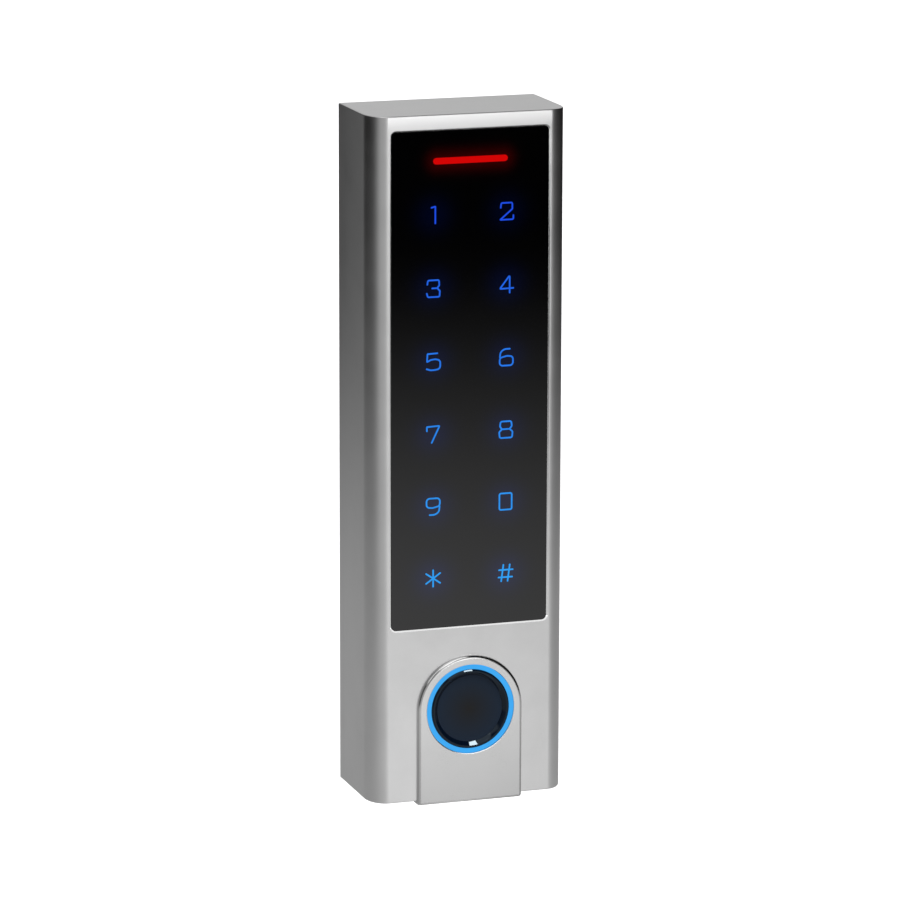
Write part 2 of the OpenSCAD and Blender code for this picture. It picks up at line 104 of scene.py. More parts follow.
def fillet(points, radius, closed=False, steps=6):
    """The polyline with each corner rounded to the radius, or to as much as its sides allow."""
    out = []
    count = len(points)
    for i, point in enumerate(points):
        at_end = not closed and i in (0, count - 1)
        r = radius[i] if isinstance(radius, (list, tuple)) else radius
        here = Vector(point)
        before = Vector(points[i - 1]) - here
        after = Vector(points[(i + 1) % count]) - here
        if at_end or r <= 0 or before.angle(after) > math.pi - 0.02:
            out.append(tuple(here))
            continue
        half = before.angle(after) / 2
        room = 0.49 * min(before.length, after.length)
        cut = min(r / math.tan(half), room)
        u, v = before.normalized(), after.normalized()
        centre = here + (u + v).normalized() * (cut / math.cos(half))
        first = here + u * cut - centre
        last = here + v * cut - centre
        a0 = math.atan2(first.y, first.x)
        turn = (math.atan2(last.y, last.x) - a0 + math.pi) % (2 * math.pi) - math.pi
        for k in range(steps + 1):
            a = a0 + turn * k / steps
            out.append((centre.x + first.length * math.cos(a),
                        centre.y + first.length * math.sin(a)))
    return out


def round_rect(w, h, r):
    """A rectangle round the origin with rounded corners."""
    corners = [(-w / 2, -h / 2), (w / 2, -h / 2), (w / 2, h / 2), (-w / 2, h / 2)]
    return fillet(corners, r, closed=True, steps=8)


# ---------------------------------------------------------------- meshes

def make_object(name, bm):
    """A new object from a bmesh in millimetres, with its faces turned outwards."""
    bmesh.ops.remove_doubles(bm, verts=bm.verts, dist=1e-5)
    bmesh.ops.recalc_face_normals(bm, faces=bm.faces)
    bmesh.ops.scale(bm, verts=bm.verts, vec=(MM, MM, MM))
    mesh = bpy.data.meshes.new(name)
    bm.to_mesh(mesh)
    bm.free()
    obj = bpy.data.objects.new(name, mesh)
    bpy.context.scene.collection.objects.link(obj)
    return obj


def smooth(obj, angle=35):
    """Smooth shading, with sharp edges where the faces turn by more than the angle."""
    mesh = obj.data
    mesh.polygons.foreach_set("use_smooth", [True] * len(mesh.polygons))
    mesh.set_sharp_from_angle(angle=math.radians(angle))


def apply_modifiers(obj):
    """Puts what the modifiers make into the mesh."""
    bpy.context.view_layer.update()
    graph = bpy.context.evaluated_depsgraph_get()
    mesh = bpy.data.meshes.new_from_object(obj.evaluated_get(graph))
    obj.modifiers.clear()
    old, obj.data = obj.data, mesh
    bpy.data.meshes.remove(old)
    return obj


def smooth_flats(obj, angle=35):
    """Smooth shading that leaves large flat faces flat."""
    smooth(obj, angle)
    modifier = obj.modifiers.new("normals", "WEIGHTED_NORMAL")
    modifier.keep_sharp = True
    modifier.weight = 100
    return apply_modifiers(obj)


def combine(obj, other, operation):
    """Boolean of obj with other, which is then deleted."""
    modifier = obj.modifiers.new("combine", "BOOLEAN")
    modifier.operation = operation
    modifier.solver = "EXACT"
    modifier.object = other
    apply_modifiers(obj)
    bpy.data.objects.remove(other)


def bevel_front(obj, width, segments):
    """Rounds the edges of the foremost face. The width is in millimetres."""
    front = min(v.co.y for v in obj.data.vertices) / MM
    bm = bmesh.new()
    bm.from_mesh(obj.data)
    layer = bm.edges.layers.float.get("bevel_weight_edge")
    layer = layer or bm.edges.layers.float.new("bevel_weight_edge")
    for edge in bm.edges:
        off_front = sum(abs(v.co.y / MM - front) for v in edge.verts)
        turn = edge.calc_face_angle(0) if len(edge.link_faces) == 2 else 0
        edge[layer] = 1.0 if off_front < SAME_PLACE and turn > math.radians(25) else 0
    bm.to_mesh(obj.data)
    bm.free()
    modifier = obj.modifiers.new("bevel", "BEVEL")
    modifier.limit_method = "WEIGHT"
    modifier.width = width * MM
    modifier.segments = segments
    apply_modifiers(obj)


def prism(name, outline, y0, y1, z=0):
    """A solid with an outline in X and Z, from y0 to y1, raised by z."""
    bm = bmesh.new()
    back = [bm.verts.new((p[0], y1, z + p[1])) for p in outline]
    front = [bm.verts.new((p[0], y0, z + p[1])) for p in outline]
    bm.faces.new(back)
    bm.faces.new(front)
    for i in range(len(outline)):
        j = (i + 1) % len(outline)
        bm.faces.new((front[i], front[j], back[j], back[i]))
    return make_object(name, bm)


def lathe(name, profile, x, z, segments=128):
    """A solid turned about the Y direction. The profile is a closed loop of (radius, y)."""
    bm = bmesh.new()
    rings = []
    for r, y in profile:
        if r < 1e-6:
            rings.append([bm.verts.new((x, y, z))] * segments)
            continue
        turn = [2 * math.pi * k / segments for k in range(segments)]
        rings.append([bm.verts.new((x + r * math.cos(a), y, z + r * math.sin(a))) for a in turn])
    for i, ring in enumerate(rings):
        other = rings[(i + 1) % len(rings)]
        if ring[0] is ring[1] and other[0] is other[1]:
            continue
        for k in range(segments):
            n = (k + 1) % segments
            corners = list(dict.fromkeys((ring[k], ring[n], other[n], other[k])))
            bm.faces.new(corners)
    return make_object(name, bm)


def stroke(bm, points, width, y0, y1, closed=False):
    """A flat stroke with round ends, from y0 to y1, along points in X and Z."""
    path = [Vector(p) for p in points]
    half = [width / 2] * len(path)
    if not closed:
        path, half = round_ends(path, width / 2)
    count = len(path)
    rows = []
    for i, p in enumerate(path):
        before = path[i - 1] if closed or i else p
        after = path[(i + 1) % count] if closed or i < count - 1 else p
        along = ((p - before).normalized() + (after - p).normalized()).normalized()
        side = Vector((-along.y, along.x)) * half[i]
        left, right = p + side, p - side
        rows.append([bm.verts.new((q.x, y, q.y)) for q, y in
                     ((left, y0), (right, y0), (right, y1), (left, y1))])
    for i in range(count if closed else count - 1):
        a, b = rows[i], rows[(i + 1) % count]
        for k in range(4):
            n = (k + 1) % 4
            bm.faces.new((a[k], a[n], b[n], b[k]))
    if not closed:
        bm.faces.new(rows[0])
        bm.faces.new(rows[-1])


def round_ends(path, r, steps=4):
    """Adds points beyond both ends, with the half widths that round them off."""
    half = [r] * len(path)
    for at_start in (True, False):
        end, inner = (path[0], path[1]) if at_start else (path[-1], path[-2])
        out = (end - inner).normalized()
        for k in range(1, steps + 1):
            a = math.radians(86 * k / steps)
            point, h = end + out * r * math.sin(a), r * math.cos(a)
            path = [point] + path if at_start else path + [point]
            half = [h] + half if at_start else half + [h]
    return path, half


# ---------------------------------------------------------------- shader nodes

class NodeTree:
    """Short ways to add nodes to self.tree."""

    def add(self, kind, inputs=None, **settings):
        node = self.tree.nodes.new(kind)
        for key, value in settings.items():
            setattr(node, key, value)
        for key, value in (inputs or {}).items():
            self.feed(node.inputs[key], value)
        return node

    def feed(self, socket, value):
        if isinstance(value, bpy.types.NodeSocket):
            self.tree.links.new(value, socket)
        else:
            socket.default_value = value

    def math(self, operation, a, b=0.0):
        return self.add("ShaderNodeMath", {0: a, 1: b}, operation=operation).outputs[0]

    def fade(self, value, low, high, level):
        """Smooth rise from nothing at low to the level at high."""
        inputs = {0: value, 1: low, 2: high, 3: 0.0, 4: level}
        node = self.add("ShaderNodeMapRange", inputs, interpolation_type="SMOOTHSTEP")
        return node.outputs[0]

    def azimuth_ramp(self, x, y, levels):
        """A level for each direction round the upright axis."""
        turn = self.math("DIVIDE", self.math("ARCTAN2", y, x), 2 * math.pi)
        turn = self.math("FRACT", self.math("ADD", turn, 1.0))
        ramp = self.add("ShaderNodeValToRGB", {0: turn})
        stops = ramp.color_ramp.elements
        stops[0].position = levels[0][0] / 360
        stops[1].position = levels[-1][0] / 360
        for azimuth, level in levels[1:-1]:
            stops.new(azimuth / 360)
        for stop, (azimuth, level) in zip(stops, levels):
            stop.color = (level, level, level, 1)
        return ramp.outputs[0]


class Shader(NodeTree):
    """A material with a Principled shader."""

    def __init__(self, name):
        self.material = bpy.data.materials.new(name)
        self.material.use_nodes = True
        self.tree = self.material.node_tree
        self.bsdf = self.tree.nodes["Principled BSDF"]
        self.coords = self.add("ShaderNodeTexCoord").outputs["Object"]

    def set(self, **values):
        """Values or links for the Principled shader's sockets, with _ for the spaces."""
        for key, value in values.items():
            self.feed(self.bsdf.inputs[key.replace("_", " ")], value)

    def place_mm(self):
        """The place in the frame, as three sockets in millimetres."""
        place = self.add("ShaderNodeSeparateXYZ", {0: self.coords})
        return [self.math("DIVIDE", socket, MM) for socket in place.outputs]

    def noise(self, size_mm, stretch=(1, 1, 1), detail=2.0):
        """Noise with features of about this size."""
        stretched = self.add("ShaderNodeVectorMath", {0: self.coords, 1: stretch},
                             operation="MULTIPLY").outputs[0]
        inputs = {"Vector": stretched, "Scale": 1 / (size_mm * MM), "Detail": detail}
        return self.add("ShaderNodeTexNoise", inputs).outputs["Fac"]

    def spread(self, value, low, high, from_low=0.3, from_high=0.7):
        """From low to high while the value goes from from_low to from_high."""
        inputs = {0: value, 1: from_low, 2: from_high, 3: low, 4: high}
        return self.add("ShaderNodeMapRange", inputs).outputs[0]

    def mix(self, factor, base, colour):
        """The base colour, turning into the other one as the factor goes from 0 to 1."""
        inputs = {0: factor, 6: base, 7: (*colour, 1)}
        return self.add("ShaderNodeMix", inputs, data_type="RGBA").outputs[2]

    def ramp(self, value, dark, light):
        """From dark to light colour over a noise's usual range."""
        return self.mix(self.spread(value, 0, 1), (*dark, 1), light)

    def bump(self, height, depth_mm):
        inputs = {"Height": height, "Distance": depth_mm * MM, "Strength": 1.0}
        self.feed(self.bsdf.inputs["Normal"], self.add("ShaderNodeBump", inputs).outputs[0])


def scaled(colour, factor):
    """The colour, brighter or darker."""
    return tuple(min(1.0, c * factor) for c in colour)


# ---------------------------------------------------------------- materials

TOP_HIGHLIGHT_GAIN = 1.42         # painted highlight: how much lighter the housing's colour is made along the front's top edge
FOOT_SHADE = 0.80        # painted shade: how much darker the arch's colour is made at its foot
WINDOW_EDGE = 0.65      # how far the window's polished edge reaches past the glass, in millimetres
WINDOW_POLISH = -0.16   # change of roughness there
ARCH_EDGE = (0.02, 0.12)    # depths between which the arch's rounded edge turns polished
ARCH_POLISH = -0.19
HALO = 2.9              # widths of the painted glow round the keys and the status bar, in millimetres
RED_GLOW = 1.6
HALO_LEVELS = (0.009, 0.034)    # brightness round the highest and the lowest keys
RED_LEVEL = 0.030


def metal_shader(name, colour, rough, grain_mm, stretch, depth_mm):
    """Metal with a fine directional grain, faint clouding and uneven gloss."""
    s = Shader(name)
    grain = s.noise(grain_mm, stretch)
    cloud = s.noise(9, detail=3.0)
    s.colour = s.ramp(cloud, scaled(colour, 0.96), scaled(colour, 1.03))
    mixed = s.math("ADD", s.math("MULTIPLY", grain, 0.6), s.math("MULTIPLY", cloud, 0.4))
    s.rough = s.spread(mixed, rough - 0.03, rough + 0.04)
    s.set(Base_Color=s.colour, Metallic=1.0, Roughness=s.rough)
    s.bump(grain, depth_mm)
    return s


def satin_metal(*values):
    """Plain metal, with the values that metal_shader takes."""
    return metal_shader(*values).material


def housing_metal(name, colour):
    """Satin metal, with a painted highlight along the front's top edge, and polished round the
    window.
    """
    s = metal_shader(name, colour, 0.30, 0.10, SATIN_GRAIN, 0.0012)
    x, y, z = s.place_mm()
    on_front = s.math("LESS_THAN", y, FRONT_Y + SAME_PLACE)
    # painted highlight: the front's colour is made lighter towards its top edge
    top_highlight = s.spread(z, 0, 1, GLASS_HIGH.z, HOUSING_HIGH.z - 0.5)
    s.set(Base_Color=s.mix(s.math("MULTIPLY", on_front, top_highlight), s.colour,
                           scaled(colour, TOP_HIGHLIGHT_GAIN)))
    inside_x = s.math("LESS_THAN", s.math("ABSOLUTE", x), GLASS_HIGH.x + WINDOW_EDGE)
    off_z = s.math("ABSOLUTE", s.math("SUBTRACT", z, GLASS_Z))
    inside_z = s.math("LESS_THAN", off_z, GLASS_HIGH.z - GLASS_Z + WINDOW_EDGE)
    on_bevel = s.math("MULTIPLY", s.math("GREATER_THAN", y, FRONT_Y + SAME_PLACE), inside_z)
    polish = s.math("MULTIPLY", s.math("MULTIPLY", inside_x, on_bevel), WINDOW_POLISH)
    s.set(Roughness=s.math("ADD", s.rough, polish))
    return s.material


def bezel_metal(name, colour):
    """Satin metal, with painted shade darkening it towards its foot, and polished where the outer
    edge rounds over.
    """
    s = metal_shader(name, colour, 0.29, 0.10, SATIN_GRAIN, 0.0010)
    y, z = s.place_mm()[1:]
    # painted shade: the colour darkens from the sensor's height down to the foot
    low = s.spread(z, 0, 1, SENSOR_Z, ARCH_LOW.z)
    s.set(Base_Color=s.mix(low, s.colour, scaled(colour, FOOT_SHADE)))
    depth = s.math("SUBTRACT", y, ARCH_Y)
    polish = s.spread(depth, 0.0, ARCH_POLISH, *ARCH_EDGE)
    s.set(Roughness=s.math("ADD", s.rough, polish))
    return s.material


def moulded_plastic(name, colour, rough, grain_mm=0.25, depth_mm=0.015, coat=0.0):
    """Plastic with an eroded mould texture."""
    s = Shader(name)
    grain = s.noise(grain_mm, detail=4.0)
    cloud = s.noise(6)
    s.set(Base_Color=s.ramp(cloud, scaled(colour, 0.88), scaled(colour, 1.1)))
    s.set(Roughness=s.spread(grain, rough - 0.06, rough + 0.06), Coat_Weight=coat)
    s.bump(grain, depth_mm)
    return s.material


def rubber(name, colour):
    """Soft black material with a little dust."""
    s = Shader(name)
    grain = s.noise(0.12, detail=3.0)
    dust = s.noise(3)
    s.set(Base_Color=s.ramp(dust, colour, scaled(colour, 1.6)))
    s.set(Roughness=s.spread(grain, 0.62, 0.8))
    s.bump(grain, 0.01)
    return s.material


def lit(name, colour, dim=0.92):
    """A translucent piece lit from behind, a little uneven."""
    s = Shader(name)
    glow = s.ramp(s.noise(2.5), scaled(colour, dim), colour)
    s.set(Base_Color=(*scaled(colour, 0.05), 1), Emission_Color=glow, Emission_Strength=1.0)
    s.set(Roughness=s.spread(s.noise(0.4), 0.3, 0.42), Specular_IOR_Level=0.04)
    return s.material


def circuit_board(name):
    """Green solder mask with routed tracks and tinned vias."""
    s = Shader(name)
    upright = s.add("ShaderNodeMapping", {"Vector": s.coords, "Rotation": (math.pi / 2, 0, 0)})
    tracks = s.add("ShaderNodeTexBrick", {
        "Vector": upright.outputs[0],
        "Color1": (0.006, 0.075, 0.03, 1), "Color2": (0.008, 0.10, 0.04, 1),
        "Mortar": (0.02, 0.2, 0.08, 1), "Scale": 220.0, "Mortar Size": 0.03})
    vias = s.add("ShaderNodeTexVoronoi", {"Vector": s.coords, "Scale": 320.0})
    pad = s.math("LESS_THAN", vias.outputs["Distance"], 0.12)
    s.set(Base_Color=s.mix(pad, tracks.outputs[0], (0.55, 0.50, 0.40)))
    s.set(Metallic=s.math("MULTIPLY", pad, 0.9))
    s.set(Roughness=s.spread(s.noise(1.5), 0.28, 0.4))
    s.bump(tracks.outputs[1], 0.03)
    return s.material


def black_glass(name):
    """Black printed glass, with a painted glow round each key and round the status bar."""
    s = Shader(name)
    x, _, z = s.place_mm()
    side = s.math("ABSOLUTE", x)
    row = s.math("DIVIDE", s.math("SUBTRACT", KEY_TOP, z), KEY_PITCH)
    row = s.math("ROUND", s.math("MINIMUM", s.math("MAXIMUM", row, 0.0), 5.0))
    off_x = s.math("SUBTRACT", side, KEY_X)
    off_z = s.math("ADD", s.math("SUBTRACT", z, KEY_TOP), s.math("MULTIPLY", row, KEY_PITCH))
    # painted glow: light from the keys and the bar is painted into the glass as emission
    halo = bell(s, off_x, off_z, HALO)
    blue = s.math("MULTIPLY", halo, s.spread(row, *HALO_LEVELS, 0.0, 5.0))
    bar_half = (BAR_HIGH.x - BAR_LOW.x) / 2
    past_end = s.math("MAXIMUM", s.math("SUBTRACT", side, bar_half - 1.0), 0.0)
    off_bar = s.math("SUBTRACT", z, BAR_Z)
    red = s.math("MULTIPLY", bell(s, past_end, off_bar, RED_GLOW), RED_LEVEL)
    glow = s.add("ShaderNodeCombineColor", {0: red, 1: s.math("MULTIPLY", blue, 0.1), 2: blue})
    s.set(Base_Color=(0.0005, 0.0005, 0.0006, 1), IOR=1.5, Specular_IOR_Level=0.62)
    s.set(Emission_Color=glow.outputs[0], Emission_Strength=1.0)
    s.set(Roughness=s.spread(s.noise(25, detail=4.0), 0.015, 0.045))
    return s.material


def bell(s, dx, dz, width):
    """A soft round falloff of this width in millimetres."""
    square = s.math("ADD", s.math("MULTIPLY", dx, dx), s.math("MULTIPLY", dz, dz))
    return s.math("EXPONENT", s.math("MULTIPLY", square, -0.5 / width ** 2))


def sensor_coating(name, centre_colour, edge_colour, rough, gloss, grain_mm, tint=(1, 1, 1)):
    """The sensing disc's dark coating, warmer at its centre and bluer towards its rim."""
    s = Shader(name)
    centre = (0, 0, -SENSOR_Z * MM)
    moved = s.add("ShaderNodeVectorMath", {0: s.coords, 1: centre}, operation="ADD")
    flat = s.add("ShaderNodeVectorMath", {0: moved.outputs[0], 1: (1, 0, 1)},
                 operation="MULTIPLY")
    reach = s.add("ShaderNodeVectorMath", {0: flat.outputs[0]}, operation="LENGTH")
    blend = s.spread(reach.outputs["Value"], 0, 1, 0.0, LENS_R * MM)
    s.set(Base_Color=s.mix(blend, (*centre_colour, 1), edge_colour), Specular_IOR_Level=gloss)
    s.set(Specular_Tint=(*tint, 1))
    s.set(Roughness=s.spread(s.noise(0.3), rough, rough * 1.3))
    s.bump(s.noise(0.15, detail=3.0), grain_mm)
    return s.material


# how the grain is stretched along each axis
STEEL_GRAIN = (1, 1, 0.06)
SATIN_GRAIN = (1, 1, 0.45)
TURNED_GRAIN = (1, 0.2, 1)

RED = (0.63, 0.0, 0.0)
RING_BLUE = (0.052, 0.40, 0.90)
KEY_TOP_BLUE = (0.012, 0.075, 0.80)
KEY_LOW_BLUE = (0.030, 0.36, 0.94)

MATERIALS = {
    "satin_zinc": housing_metal("satin_zinc", (0.62, 0.62, 0.62)),
    "bezel_zinc": bezel_metal("bezel_zinc", (0.64, 0.64, 0.64)),
    "black_glass": black_glass("black_glass"),
    "sensor_black": sensor_coating("sensor_black", (0.009, 0.009, 0.009), (0.006, 0.013, 0.026),
                                   0.20, 0.10, 0.002),
    "rim_black": sensor_coating("rim_black", (0.002, 0.003, 0.006), (0.001, 0.003, 0.008),
                                0.03, 0.3, 0.0001, (0.72, 0.90, 1.0)),
    "ring_light": lit("ring_light", RING_BLUE, 0.95),
    "blue_light": lit("blue_light", KEY_LOW_BLUE),
    "red_light": lit("red_light", RED, 0.98),
    "plate_steel": satin_metal("plate_steel", (0.52, 0.52, 0.53), 0.34, 0.14, STEEL_GRAIN, 0.003),
    "screw_steel": satin_metal("screw_steel", (0.45, 0.45, 0.46), 0.28, 0.08, TURNED_GRAIN, 0.002),
    "black_plastic": moulded_plastic("black_plastic", (0.022, 0.022, 0.024), 0.52),
    "white_plastic": moulded_plastic("white_plastic", (0.62, 0.61, 0.57), 0.42, 0.3, 0.006),
    "chip_black": moulded_plastic("chip_black", (0.025, 0.025, 0.027), 0.6, 0.1, 0.006),
    "circuit_board": circuit_board("circuit_board"),
    "copper": satin_metal("copper", (0.72, 0.33, 0.16), 0.25, 0.12, STEEL_GRAIN, 0.004),
    "tin": satin_metal("tin", (0.68, 0.68, 0.66), 0.22, 0.2, STEEL_GRAIN, 0.002),
    "relay_blue": moulded_plastic("relay_blue", (0.02, 0.07, 0.30), 0.3, 0.5, 0.003, 0.3),
    "capacitor_sleeve": moulded_plastic("capacitor_sleeve", (0.01, 0.01, 0.03), 0.3, 0.4, 0.003),
    "ribbon": moulded_plastic("ribbon", (0.50, 0.20, 0.03), 0.3, 0.4, 0.003, 0.3),
    "adhesive": rubber("adhesive", (0.03, 0.03, 0.03)),
    "diffuser": moulded_plastic("diffuser", (0.70, 0.73, 0.78), 0.5, 0.2, 0.002),
    "black_rubber": rubber("black_rubber", (0.015, 0.015, 0.015)),
}


def give_material(obj, material):
    obj.data.materials.clear()
    obj.data.materials.append(material)


def finish_piece(obj, slot_name, material=None, replaces=(), body="terminal"):
    """Gives a new piece its material, picked by its slot's name unless one is given, puts it on its
    body and hides the CAD nodes that it stands for.
    """
    give_material(obj, material or MATERIALS[slot_name])
    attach(obj, body)
    if replaces:
        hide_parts(*replaces)
    return obj


for part in frame["record"]["subparts"]:
    node = frame["nodes"][part["node"]]
    give_material(node, MATERIALS[part["material_slot"]])
    smooth(node, 25)


# ---------------------------------------------------------------- camera

CAMERA_YAW = math.radians(18.446)
CAMERA_PITCH = math.radians(12.436)
CAMERA_ROLL = math.radians(0.133)
CAMERA_DISTANCE = 1173.5            # in millimetres
CAMERA_OFFSET = (3.43, -2.874)      # to the right and up, across the view
CAMERA_LENS = 198.7


def make_camera():
    """Camera in front of the terminal, to its left and a little above it."""
    forward = Vector((math.sin(CAMERA_YAW) * math.cos(CAMERA_PITCH),
                      math.cos(CAMERA_YAW) * math.cos(CAMERA_PITCH),
                      -math.sin(CAMERA_PITCH)))
    right = Vector((math.cos(CAMERA_YAW), -math.sin(CAMERA_YAW), 0))
    up = right.cross(forward)
    place = right * CAMERA_OFFSET[0] + up * CAMERA_OFFSET[1] - forward * CAMERA_DISTANCE
    turned_right = right * math.cos(CAMERA_ROLL) + up * math.sin(CAMERA_ROLL)
    turned_up = up * math.cos(CAMERA_ROLL) - right * math.sin(CAMERA_ROLL)
    camera = bpy.data.objects.new("camera", bpy.data.cameras.new("camera"))
    bpy.context.scene.collection.objects.link(camera)
    axes = Matrix((turned_right, turned_up, -forward)).transposed().to_4x4()
    camera.matrix_world = Matrix.Translation(place * MM) @ axes
    camera.data.lens = CAMERA_LENS
    camera.data.sensor_width = 36
    camera.data.clip_end = 50
    bpy.context.scene.camera = camera


# ---------------------------------------------------------------- touch panel

def make_glass():
    """The glass, with a small polished bevel along its front edge."""
    w, h = GLASS_HIGH.x - GLASS_LOW.x, GLASS_HIGH.z - GLASS_LOW.z
    glass = prism("touch_glass", round_rect(w, h, GLASS_R), GLASS_LOW.y, GLASS_HIGH.y, GLASS_Z)
    bevel_front(glass, 0.04, 2)
    finish_piece(smooth_flats(glass), "black_glass", replaces=["touch_panel"])


GLYPH_W = 3.28
GLYPH_H = 3.90
STROKE = 0.38
LEGEND_PROUD = 0.02     # how far the lit marks stand off the glass, and how deep they go into it
LEGEND_SUNK = 0.05


def glyphs():
    """Each key's strokes: points from (0, 0) to (1, 1), a corner radius, and whether it closes."""
    bowl = [(0.02, 0.46), (0.30, 0.62), (0.62, 0.65), (1.0, 0.58), (1.0, 0.05), (0.55, 0.0),
            (0.28, 0.0), (0.0, 0.08)]
    tail = [(0.97, 0.50), (0.93, 0.16), (0.62, 0.0), (0.24, 0.0)]
    head = [(1 - u, 1 - v) for u, v in tail]
    box_low = [(0.0, 0.0), (1.0, 0.0), (1.0, 0.54), (0.55, 0.58), (0.02, 0.48)]
    box_high = [(1 - u, 1 - v) for u, v in box_low]
    return [
        [([(0.34, 0.94), (0.62, 1.0), (0.62, 0.0)], 0.05, False)],
        [([(0.04, 0.72), (0.08, 1.0), (0.90, 1.0), (0.90, 0.62), (0.0, 0.0), (0.98, 0.0),
           (0.98, 0.24)], [0, 0.35, 0.35, 0.35, 0.05, 0.35, 0], False)],
        [([(0.04, 0.76), (0.08, 1.0), (0.90, 1.0), (0.92, 0.68), (0.76, 0.52), (0.96, 0.36),
           (0.94, 0.0), (0.08, 0.0), (0.0, 0.22)], 0.35, False),
         ([(0.40, 0.52), (0.76, 0.52)], 0.0, False)],
        [([(0.73, 0.0), (0.73, 1.04), (0.0, 0.25), (1.0, 0.27)], 0.12, False)],
        [([(0.78, 1.0), (0.06, 0.98), (0.02, 0.50)] + bowl[1:], [0, 0.1, 0.1] + [0.9] * 6 + [0],
          False)],
        [(box_low, 0.75, True), (head, 1.6, False)],
        [([(0.02, 0.72), (0.02, 0.97), (0.96, 1.0), (0.38, 0.0)], 0.12, False)],
        [([(0.10, 1.0), (0.90, 1.0), (0.94, 0.70), (0.78, 0.53), (0.20, 0.53), (0.06, 0.70)],
          0.45, True),
         ([(0.20, 0.53), (0.78, 0.53), (1.0, 0.36), (0.96, 0.0), (0.04, 0.0), (0.0, 0.36)],
          0.45, True)],
        [(box_high, 0.75, True), (tail, 1.6, False)],
        [([(0.04, 0.0), (0.96, 0.0), (0.96, 1.0), (0.04, 1.0)], 0.4, True)],
        [([(0.5, 0.0), (0.5, 1.0)], 0.0, False),
         ([(-0.02, 0.20), (1.02, 0.80)], 0.0, False),
         ([(-0.02, 0.80), (1.02, 0.20)], 0.0, False)],
        [([(0.20, 0.0), (0.36, 1.0)], 0.0, False), ([(0.68, 0.0), (0.84, 1.0)], 0.0, False),
         ([(0.0, 0.24), (1.02, 0.24)], 0.0, False), ([(0.04, 0.69), (1.06, 0.69)], 0.0, False)],
    ]


def make_legends():
    """Twelve lit key legends, brighter towards the bottom of the panel."""
    y0 = GLASS_LOW.y - LEGEND_PROUD
    for i, strokes in enumerate(glyphs()):
        row, column = divmod(i, 2)
        x = KEY_X if column else -KEY_X
        z = KEY_TOP - row * KEY_PITCH
        bm = bmesh.new()
        for points, radius, closed in strokes:
            path = [(x + (u - 0.5) * GLYPH_W, z + (v - 0.5) * GLYPH_H) for u, v in points]
            stroke(bm, fillet(path, radius, closed), STROKE, y0, GLASS_LOW.y + LEGEND_SUNK, closed)
        blend = row / 5
        colour = [a + (b - a) * blend for a, b in zip(KEY_TOP_BLUE, KEY_LOW_BLUE)]
        name = f"key_legend_{i + 1:02d}"
        finish_piece(make_object(name, bm), "blue_light", lit(name, colour, 0.85))


def make_status_bar():
    """The lit red bar, with round ends."""
    bm = bmesh.new()
    half = (BAR_HIGH.x - BAR_LOW.x) / 2
    width = BAR_HIGH.z - BAR_LOW.z
    reach = half - width / 2
    steps = 12
    path = [(-reach + 2 * reach * i / steps, BAR_Z) for i in range(steps + 1)]
    stroke(bm, path, width, GLASS_LOW.y - LEGEND_PROUD, GLASS_LOW.y + LEGEND_SUNK)
    finish_piece(make_object("status_bar", bm), "red_light")


# ---------------------------------------------------------------- fingerprint sensor

LENS_CHAMFER = 0.1
RIM_GAP = 0.03          # between the disc and the rim
CROWN_IN = 0.65         # the rim's crown, measured inwards from its outer radius
CROWN_OUT = 0.3
CROWN_DROP = 0.27
RIM_ROUNDING = 0.08
RING_GAP = 0.05
RING_ROUNDING = 0.12


def make_sensor():
    """Sunk disc, dark rim that slopes down to it, and lit ring, each with rounded edges."""
    back = LENS_HIGH.y
    disc_front = LENS_LOW.y
    disc = [(0, disc_front), (LENS_R - LENS_CHAMFER, disc_front),
            (LENS_R, disc_front + LENS_CHAMFER), (LENS_R, back), (0, back)]
    finish_piece(smooth_flats(lathe("sensor_disc", disc, 0, SENSOR_Z)), "sensor_black",
                 replaces=["sensor_lens"])
    crown = RIM_LOW.y
    lip = disc_front - RIM_GAP
    inner = LENS_R + RIM_GAP
    rim = fillet([(inner, back), (inner, lip), (RIM_LIP_R, lip), (RIM_R - CROWN_IN, crown),
                  (RIM_R - CROWN_OUT, crown), (RIM_R, crown + CROWN_DROP), (RIM_R, back)],
                 [0, 0, 0.03, RIM_ROUNDING, RIM_ROUNDING, RIM_ROUNDING, 0], closed=True, steps=5)
    finish_piece(smooth_flats(lathe("sensor_rim", rim, 0, SENSOR_Z)), "rim_black",
                 replaces=["sensor_trim_ring"])
    ring_in = RIM_R + RING_GAP
    front = RING_LOW.y
    ring = fillet([(ring_in, RING_HIGH.y), (ring_in, front), (RING_R, front),
                   (RING_R, RING_HIGH.y)], [0, RING_ROUNDING, RING_ROUNDING, 0], closed=True,
                  steps=4)
    finish_piece(smooth_flats(lathe("lit_ring", ring, 0, SENSOR_Z)), "ring_light",
                 replaces=["ring_light_guide"])


PEG_X = 9
PEG_UP = 6.5
PEG_R = 1.6
PEG_BORE_R = 0.75
PEG_BACK = FRONT_Y + 2.4
FOOT_BACK = FRONT_Y + 7
FOOT_CHAMFER = 0.15
ARCH_ROUNDING = 0.85
ARCH_CORNER = 0.8
HOLE_GAP = 0.08
HOLE_EDGE = 0.26        # width of the hole's bevelled edge, and its depth
HOLE_EDGE_DEEP = 0.4 * HOLE_EDGE
HOLE_SLOPE = 2.6        # how much wider the bevel's cone is, 1 mm in front of the plate


